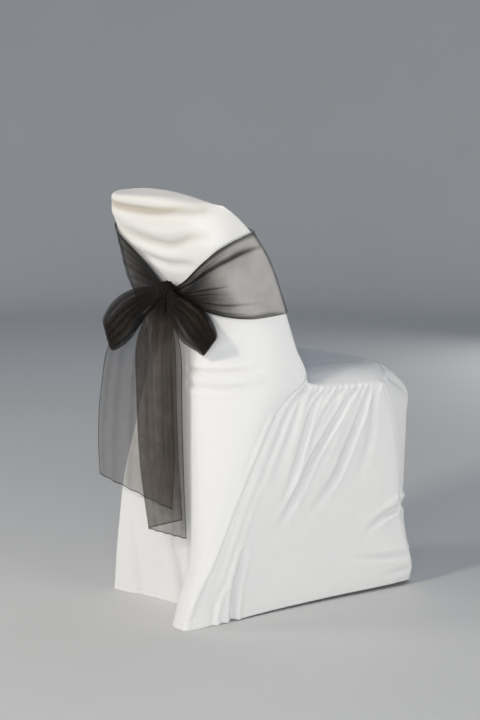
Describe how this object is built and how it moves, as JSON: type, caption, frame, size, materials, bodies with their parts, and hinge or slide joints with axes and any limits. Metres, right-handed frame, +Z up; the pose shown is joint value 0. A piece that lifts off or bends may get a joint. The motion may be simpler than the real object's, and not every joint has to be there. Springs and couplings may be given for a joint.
{
  "type": "chair cover with sash",
  "caption": "Fitted cloth cover for a banquet chair, with gathered side skirts that reach the floor and a sheer sash tied in a bow behind the back.",
  "frame": {"origin": "the point under the crown of the back where the cover rests on the chair's top rail, in the middle of the chair's width", "axes": "+Z up, with the floor 0.888 m below the origin; -Y is the way a sitter faces, +Y is behind the back, where the bow hangs; -X is the near side"},
  "size_m": [0.4275, 0.6246, 0.8962],
  "materials": {
    "cover_cloth": "white stretch polyester, matt with a soft sheen",
    "sash_cloth": "black organza, sheer where single, near black where bunched"
  },
  "bodies": {
    "root": {"rear_panel": "cover_cloth", "front_panel": "cover_cloth", "side_skirt_near": "cover_cloth", "side_skirt_far": "cover_cloth", "sash_band": "sash_cloth", "sash_knot": "sash_cloth", "bow_loop_near": "sash_cloth", "bow_loop_far": "sash_cloth", "sash_tail_far": "sash_cloth", "sash_tail_near": "sash_cloth"}
  },
  "joints": []
}
